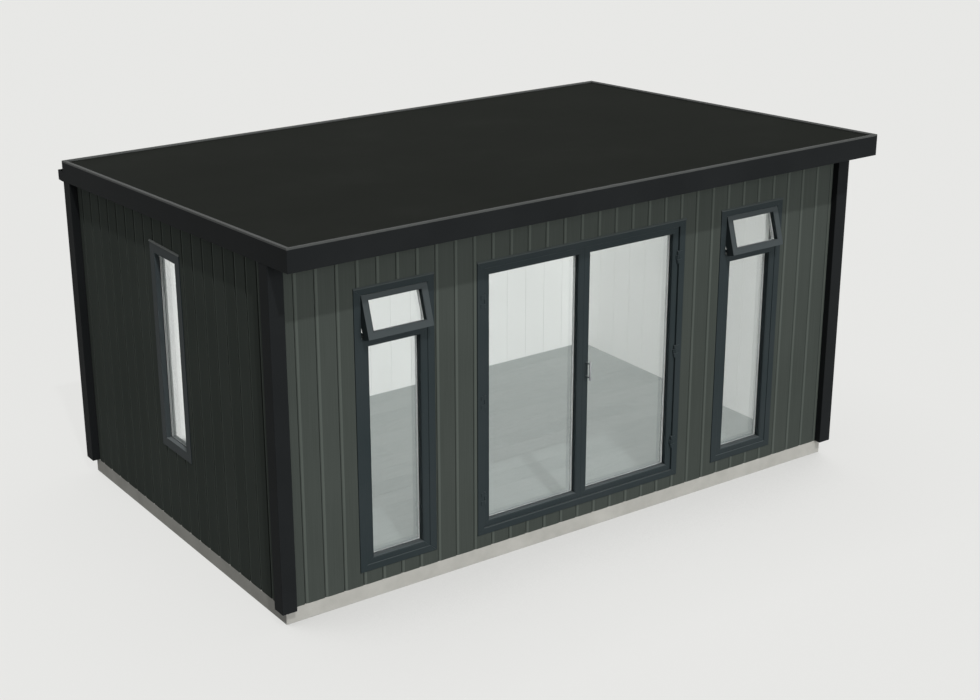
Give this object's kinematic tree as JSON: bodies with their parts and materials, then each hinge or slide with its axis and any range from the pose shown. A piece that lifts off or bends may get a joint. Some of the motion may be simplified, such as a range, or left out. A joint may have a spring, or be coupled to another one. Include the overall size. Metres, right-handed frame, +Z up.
{
  "type": "garden room",
  "caption": "Flat-roofed garden room with dark upright cladding, glazed double doors and slim windows, on a concrete base.",
  "frame": {"origin": "centre of the concrete base's underside", "axes": "+X to the right seen from the doors, -Y out of the doors, +Z up"},
  "size_m": [4.908, 3.425, 2.619],
  "materials": {
    "concrete": "cast concrete, plain and pale grey",
    "laminate_floor": "grey laminate planks, matt",
    "wall_panel": "white lining boards on insulated panels",
    "composite_cladding": "dark green-grey upright boards, matt, with shadow joints",
    "timber_deck": "bare panel, hidden under the membrane",
    "rubber_membrane": "one-piece rubber roof sheet, matt black",
    "edge_trim": "powder-coated grey edge trim",
    "black_trim": "black, satin",
    "anthracite_frame": "anthracite powder coat on aluminium",
    "double_glazing": "clear sealed units",
    "satin_handle": "satin stainless steel",
    "hinge_steel": "painted steel"
  },
  "bodies": {
    "building": {"base_slab": "concrete", "floor": "laminate_floor", "front_wall_left": "wall_panel", "front_wall_right": "wall_panel", "front_wall_header": "wall_panel", "front_wall_sill": "wall_panel", "left_wall": "wall_panel", "right_wall": "wall_panel", "rear_wall": "wall_panel", "front_cladding_left": "composite_cladding", "front_cladding_right": "composite_cladding", "front_cladding_header": "composite_cladding", "front_cladding_sill": "composite_cladding", "left_cladding": "composite_cladding", "right_cladding": "composite_cladding", "rear_cladding": "composite_cladding", "ceiling": "wall_panel", "roof_deck": "timber_deck", "soffit": "black_trim", "roof_membrane": "rubber_membrane", "roof_edge_trim": "edge_trim", "front_fascia": "black_trim", "left_fascia": "black_trim", "right_fascia": "black_trim", "rear_fascia": "black_trim", "rear_gutter": "black_trim", "front_left_post": "black_trim", "front_right_post": "black_trim", "rear_left_post": "black_trim", "rear_right_post": "black_trim", "door_frame": "anthracite_frame", "door_hinges": "hinge_steel", "front_window_left": "anthracite_frame", "front_window_right": "anthracite_frame", "fanlight_left": "anthracite_frame", "fanlight_right": "anthracite_frame", "front_glass_left": "double_glazing", "front_glass_right": "double_glazing", "side_window": "anthracite_frame", "side_glass": "double_glazing"},
    "left_leaf": {"door_leaf_left": "anthracite_frame", "door_glass_left": "double_glazing"},
    "right_leaf": {"door_leaf_right": "anthracite_frame", "door_glass_right": "double_glazing", "door_handles": "satin_handle"}
  },
  "joints": [
    {"name": "left_door_hinge", "type": "hinge", "parent": "building", "child": "left_leaf", "pos_m": [-0.8365, -1.489, 1.1855], "axis": [0, 0, -1], "range_deg": [0, 90]},
    {"name": "right_door_hinge", "type": "hinge", "parent": "building", "child": "right_leaf", "pos_m": [0.8365, -1.489, 1.1855], "axis": [0, 0, 1], "range_deg": [0, 90]}
  ]
}
